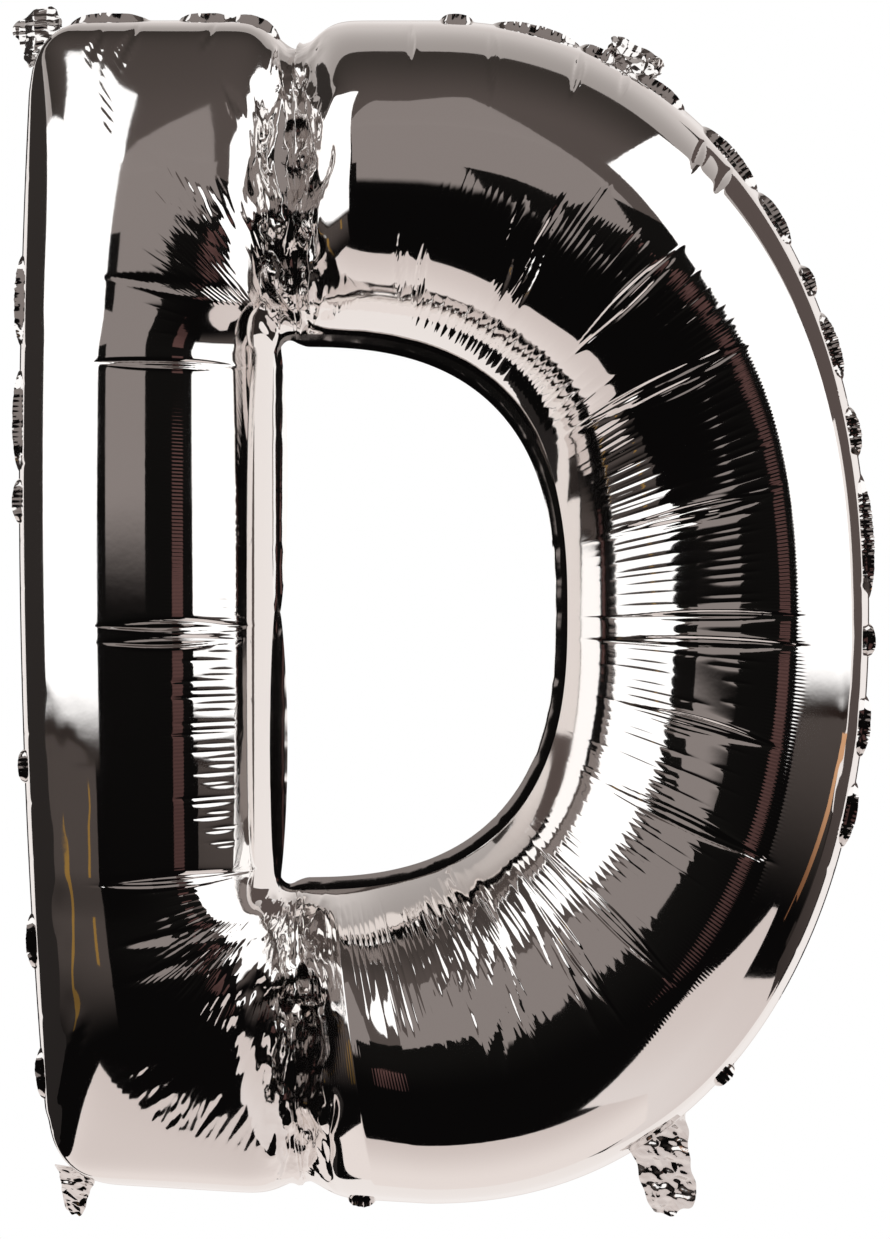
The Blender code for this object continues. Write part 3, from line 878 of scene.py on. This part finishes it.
def finish_masks(points):
    """Where the film is finely gathered, and where it is crumpled, from 0 to 1."""
    x, z = points[:, :, 0], points[:, :, 2]
    row = np.linspace(0, 1, ROWS + 1)[None, :]
    place = np.arange(STATIONS)[:, None]
    bowl = (place < BOWL_STATIONS) * np.ones_like(row)
    crest = ramp(row, 0.40, 0.46) * (1 - ramp(row, 0.50, 0.56)) * ramp(place, 0.16 * BOWL_STATIONS, 0.24 * BOWL_STATIONS)
    stem_crest = 0.5 * ramp(row, 0.36, 0.40) * (1 - ramp(row, 0.42, 0.46)) * (1 - ramp(z, 0.10, 0.22))
    rim = 0.7 * ramp(row, 0.86, 0.95)
    gather = np.maximum(np.maximum(bowl * crest, (1 - bowl) * stem_crest), rim)
    column = np.exp(-(((x + 0.105) / 0.016) ** 2)) * ramp(np.abs(z), 0.195, 0.215)
    return {"gather": gather, "crumple": column}


SEAM_LIFT = 0.0005
FRONT_SEED = 11
BACK_SEED = 23


def make_film(side, seed, names):
    """The stem's and the bowl's film on one side of the balloon. side is -1 for the front."""
    points = wrinkled(film, seed)
    masks = finish_masks(points)
    points[:, :, 1] = side * (points[:, :, 1] + SEAM_LIFT)
    made = []
    for name, first, last in ((names[0], 0, BOWL_STATIONS), (names[1], BOWL_STATIONS, STATIONS)):
        some = np.arange(first, last + 1) % STATIONS
        piece = make_film_piece(name, points[some], masks={k: v[some] for k, v in masks.items()})
        face_away(piece, side)
        made.append(piece)
        print(name, "has", len(piece.data.polygons), "faces")
    return made


front_bowl, front_stem = make_film(-1, FRONT_SEED, ("front_bowl_film", "front_stem_film"))
back_bowl, back_stem = make_film(1, BACK_SEED, ("back_bowl_film", "back_stem_film"))

# %% [markdown]
# ## The hems
#
# Outside each weld a strip of the two films is left over. It can't follow the shrunken edge of the inflated
# letter, so it ruffles. The outer hem curls back behind the letter between its ruffles.


# %% Hems
LEAF_LENGTH = 0.190
# x and z of the middle of each leaf of the outer hem, and half its length
HEM_LEAVES = (
    (-0.238, 0.430, 0.028), (-0.170, 0.430, 0.020), (-0.130, 0.430, 0.019), (0.010, 0.432, 0.012),
    (0.068, 0.420, 0.032), (0.112, 0.402, 0.014), (0.154, 0.372, 0.022), (0.204, 0.324, 0.030),
    (0.243, 0.285, 0.022), (0.268, 0.240, 0.012), (0.288, 0.194, 0.025), (0.311, 0.133, 0.018),
    (0.315, 0.055, 0.044), (0.316, -0.020, 0.012), (0.314, -0.084, 0.022), (0.303, -0.148, 0.024),
    (-0.300, 0.222, 0.032), (-0.300, 0.137, 0.036), (-0.300, 0.079, 0.016), (-0.300, -0.110, 0.012),
    (-0.300, -0.236, 0.020), (-0.290, -0.330, 0.018), (0.200, -0.330, 0.010), (-0.060, -0.430, 0.010),
)


def outward(ring):
    """The way out of a clockwise ring at each of its points."""
    along = np.roll(ring, -1, axis=0) - np.roll(ring, 1, axis=0)
    normal = np.stack([-along[:, 1], along[:, 0]], axis=-1)
    normal /= np.linalg.norm(normal, axis=1, keepdims=True)
    normal = smooth_ring(normal, 20)
    return normal / np.linalg.norm(normal, axis=1, keepdims=True)


def ring_length(ring):
    """How far along the ring each of its points is, in metres."""
    steps = np.linalg.norm(np.roll(ring, -1, axis=0) - ring, axis=1)
    return np.concatenate([[0.0], np.cumsum(steps)[:-1]])


def ruffle(along, wavelength, random):
    """A wave of uneven length and height along a hem, between -1 and 1."""
    phase = 2 * np.pi * along / wavelength
    wander = np.zeros_like(along)
    for k in range(1, 9):
        wander += random.uniform(0.2, 0.9) * np.sin(2 * np.pi * along / along[-1] * k * 3 + random.uniform(0, 6.3))
    return np.sin(phase + 1.6 * wander) * (0.65 + 0.35 * np.sin(wander * 2.1))


def flat_leaves(ring, leaves):
    """How flat the hem lies at each station, 1 in the middle of a leaf and 0 between the leaves."""
    along = ring_length(ring)
    flat = np.zeros(len(ring))
    for x, z, half in leaves:
        middle = along[np.argmin(np.hypot(ring[:, 0] - x, ring[:, 1] - z))]
        away = np.abs(along - middle)
        away = np.minimum(away, along[-1] - away)
        flat = np.maximum(flat, np.clip(1 - (away / half) ** 2, 0, 1) ** 0.7)
    return flat


def make_outer_hem(random):
    """The outer hem, which folds back behind the letter, except for its leaves, which turn to the front."""
    out = outward(outer_ring)
    along = ring_length(outer_ring)
    flat = flat_leaves(outer_ring, HEM_LEAVES)
    fine = ruffle(along, 0.0052, random) * ruffle(along, 0.013, random) + 0.6 * ruffle(along, 0.021, random)
    rows = 8
    points = np.empty((STATIONS, rows + 1, 3))
    for row in range(rows + 1):
        share = row / rows
        reach = -0.0015 + share * (0.0034 + 0.0040 * flat * (1 + 0.20 * fine))
        back = share * (0.0085 * (1 - np.minimum(1.3 * flat, 1)) + 0.0022 * fine * share * flat)
        points[:, row, 0] = outer_ring[:, 0] + out[:, 0] * reach
        points[:, row, 2] = outer_ring[:, 1] + out[:, 1] * reach
        points[:, row, 1] = back
    return make_film_piece("outer_hem", points, True)


def make_counter_hem(random):
    """The counter's hem. Round the bowl it stands nearly flat, and along the stem it twists in long leaves."""
    inside = smooth_ring(stations(counter_runs(-HEM_WIDTH), COUNTS), 10)
    along = ring_length(inner_ring)
    on_stem = ramp(-0.095 - inner_ring[:, 0], 0.0, 0.02)
    slow = ruffle(along, 0.070, random)
    leaf = np.abs(np.sin(np.pi * inner_ring[:, 1] / LEAF_LENGTH)) ** 0.7
    width = 1 - on_stem * (0.75 - 0.60 * leaf)
    turned = on_stem * np.sin(np.pi * inner_ring[:, 1] / LEAF_LENGTH)
    rows = 8
    points = np.empty((STATIONS, rows + 1, 3))
    for row in range(rows + 1):
        share = 1.15 * (1 - row / rows) - 0.15
        flat = inner_ring + (inside - inner_ring) * share * width[:, None]
        points[:, row, 0] = flat[:, 0]
        points[:, row, 2] = flat[:, 1]
        lift = max(share, 0)
        curl = 0.0016 * lift**4 * (1 - on_stem) + 0.0030 * lift**2 * turned
        points[:, row, 1] = lift * (0.0003 * slow) + curl
    return make_film_piece("counter_hem", points, True)


hem_random = np.random.default_rng(5)
outer_hem = make_outer_hem(hem_random)
counter_hem = make_counter_hem(hem_random)


# %% [markdown]
# ## Tail and tabs
#
# The inflation tail is the flat neck that the gas went in by. The tabs were left on the hem to hang the letter
# by. All are the same two films, and all are crumpled.


# %% Crumpled tabs
FACET_SIZES = (0.016, 0.012, 0.0085, 0.0060, 0.0042, 0.0030)


def crumpled_tab(name, root, direction, length, root_width, end_width, crush, random, lean):
    """A tab of loose film from a root point, crushed into flat facets. crush is the slope of each set of folds,
    and lean is how the whole tab slopes to the back, along x and along z."""
    direction = Vector(direction).normalized()
    across = Vector((direction.y, -direction.x))
    steps, rows = 56, 72
    u = np.linspace(-0.5, 0.5, steps + 1)[:, None]
    v = np.linspace(0, 1, rows + 1)[None, :]
    width = root_width + (end_width - root_width) * v
    edge = 1 + 0.05 * np.sin(9 * v + 2 * u) + 0.03 * np.sin(23 * v)
    side = u * width * edge
    far = v * length * (1 - 0.10 * (2 * np.abs(u)) ** 4 + 0.02 * np.sin(14 * u))
    x = root[0] + across.x * side + direction.x * far
    z = root[1] + across.y * side + direction.y * far
    height = np.zeros(x.shape)
    for size in FACET_SIZES:
        angle = random.uniform(0, math.pi)
        off = (x * math.cos(angle) + z * math.sin(angle)) / size
        off = off + 0.15 * np.sin(x / size * 1.7 + random.uniform(0, 6.3)) + 0.15 * np.cos(z / size * 1.3)
        height += crush * size * np.abs((off + random.uniform(0, 2)) % 2 - 1)
    height *= ramp(v, 0.0, 0.12)
    y = 0.0028 + height + (lean[0] * (x - root[0]) + lean[1] * (z - root[1])) * ramp(v, 0.0, 0.25)
    points = np.stack([x, y, z], axis=-1)
    return make_film_piece(name, points, False)


tab_random = np.random.default_rng(8)
inflation_tail = crumpled_tab(
    "inflation_neck", (0.148, -0.357), (0.26, -0.966), 0.082, 0.048, 0.034, 0.24, tab_random, (0.62, -0.38)
)
bottom_left_tab = crumpled_tab(
    "lower_left_tab", (-0.262, -0.396), (-0.14, -0.99), 0.040, 0.030, 0.014, 0.26, tab_random, (-0.30, -0.70)
)
top_left_tab = crumpled_tab(
    "upper_left_tab", (-0.280, 0.396), (-0.45, 0.89), 0.040, 0.036, 0.034, 0.28, tab_random, (-0.55, 0.30)
)
top_right_tab = crumpled_tab(
    "upper_right_tab", (0.130, 0.384), (0.46, 0.89), 0.024, 0.046, 0.040, 0.24, tab_random, (0.20, 0.20)
)

# %% [markdown]
# ## The film's finish
#
# The film is polyester about 0.03 mm thick with aluminium laid on it in vacuum. It mirrors like a polished
# metal, a little greyer than chrome, with a very fine unevenness from the rollers and from handling.

# %% Mirror film
FILM_SILVER = "#f4f1ef"
HEM_SILVER = "#e9e6e4"
PUCKER_SPACING = 0.0026
WAVE_SCALE = math.pi / 10  # the wave texture repeats every pi / 10 at scale 1


def mirror_film(name, colour, roughness, pucker_mm, crumple_mm, grain_mm):
    """Vacuum-metallised polyester film. The bump adds what is finer than the mesh: hair-thin puckers 2.6 mm
    apart, crushed facets in the pinched valleys, and the slight orange peel of stretched film. Each of the
    three heights is in millimetres."""
    material, tree, shader = new_material(name)
    shader.inputs["Base Color"].default_value = linear(colour)
    shader.inputs["Metallic"].default_value = 1.0
    place = add_node(tree, "ShaderNodeTexCoord")
    haze = add_node(
        tree,
        "ShaderNodeTexNoise",
        {"Vector": place.outputs["Object"]},
        {"Scale": 9.0, "Detail": 4.0, "Roughness": 0.6},
    )
    rough = add_node(
        tree,
        "ShaderNodeMapRange",
        {"Value": haze.outputs["Fac"]},
        {"From Min": 0.35, "From Max": 0.75, "To Min": roughness * 0.6, "To Max": roughness * 1.8},
    )
    tree.links.new(rough.outputs["Result"], shader.inputs["Roughness"])
    squeezed = add_node(
        tree,
        "ShaderNodeVectorMath",
        {0: place.outputs["UV"]},
        {1: (1.0, 0.06, 1.0)},
        operation="MULTIPLY",
    )
    puckers = add_node(
        tree,
        "ShaderNodeTexWave",
        {"Vector": squeezed.outputs["Vector"]},
        {"Scale": WAVE_SCALE / PUCKER_SPACING, "Distortion": 1.6, "Detail": 1.0, "Detail Scale": 0.7},
        wave_type="BANDS",
        bands_direction="X",
        wave_profile="SIN",
    )
    facets = add_node(
        tree,
        "ShaderNodeTexVoronoi",
        {"Vector": place.outputs["Object"]},
        {"Scale": 95.0, "Detail": 1.0, "Roughness": 0.5},
        feature="F1",
    )
    grain = add_node(
        tree, "ShaderNodeTexNoise", {"Vector": place.outputs["Object"]}, {"Scale": 110.0, "Detail": 2.0}
    )
    total = None
    for source, mask, height in (
        (puckers.outputs["Fac"], "gather", pucker_mm),
        (facets.outputs["Distance"], "crumple", crumple_mm),
        (grain.outputs["Fac"], None, grain_mm),
    ):
        if height == 0:
            continue
        part = add_node(tree, "ShaderNodeMath", {0: source}, {1: height / 1000}, operation="MULTIPLY")
        if mask:
            strength = add_node(tree, "ShaderNodeAttribute", attribute_name=mask)
            part = add_node(
                tree, "ShaderNodeMath", {0: part.outputs[0], 1: strength.outputs["Fac"]}, operation="MULTIPLY"
            )
        if total:
            part = add_node(
                tree, "ShaderNodeMath", {0: part.outputs[0], 1: total.outputs[0]}, operation="ADD"
            )
        total = part
    bump = add_node(
        tree, "ShaderNodeBump", {"Height": total.outputs[0]}, {"Strength": 1.0, "Distance": 1.0}
    )
    tree.links.new(bump.outputs["Normal"], shader.inputs["Normal"])
    return material


film_material = mirror_film("metallised_film", FILM_SILVER, 0.045, 0.036, 0.5, 0.015)
hem_material = mirror_film("welded_film", HEM_SILVER, 0.08, 0, 0, 0.06)
tab_material = mirror_film("creased_film", HEM_SILVER, 0.07, 0, 0, 0.05)

# %% [markdown]
# ## Fastening the pieces to the frame
#
# Every piece rides on the part's one body and gets its material, and the CAD node that it stands for is hidden.

# %% Frame table
DRESSED = (
    (front_bowl, "front_panel", "mirror_film", film_material),
    (front_stem, "front_panel", "mirror_film", film_material),
    (back_bowl, "back_panel", "mirror_film", film_material),
    (back_stem, "back_panel", "mirror_film", film_material),
    (outer_hem, "outer_seam", "sealed_film", hem_material),
    (counter_hem, "counter_seam", "sealed_film", hem_material),
    (inflation_tail, "inflation_tail", "loose_film", tab_material),
    (bottom_left_tab, "bottom_left_tab", "loose_film", tab_material),
    (top_left_tab, "top_left_tab", "loose_film", tab_material),
    (top_right_tab, "top_right_tab", "loose_film", tab_material),
)
for piece, node, slot, material in DRESSED:
    piece.data.materials.clear()
    piece.data.materials.append(material)
    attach(piece, "root")
    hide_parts(node)
    print(piece.name, "stands for", node, "with", len(piece.data.polygons), "faces")
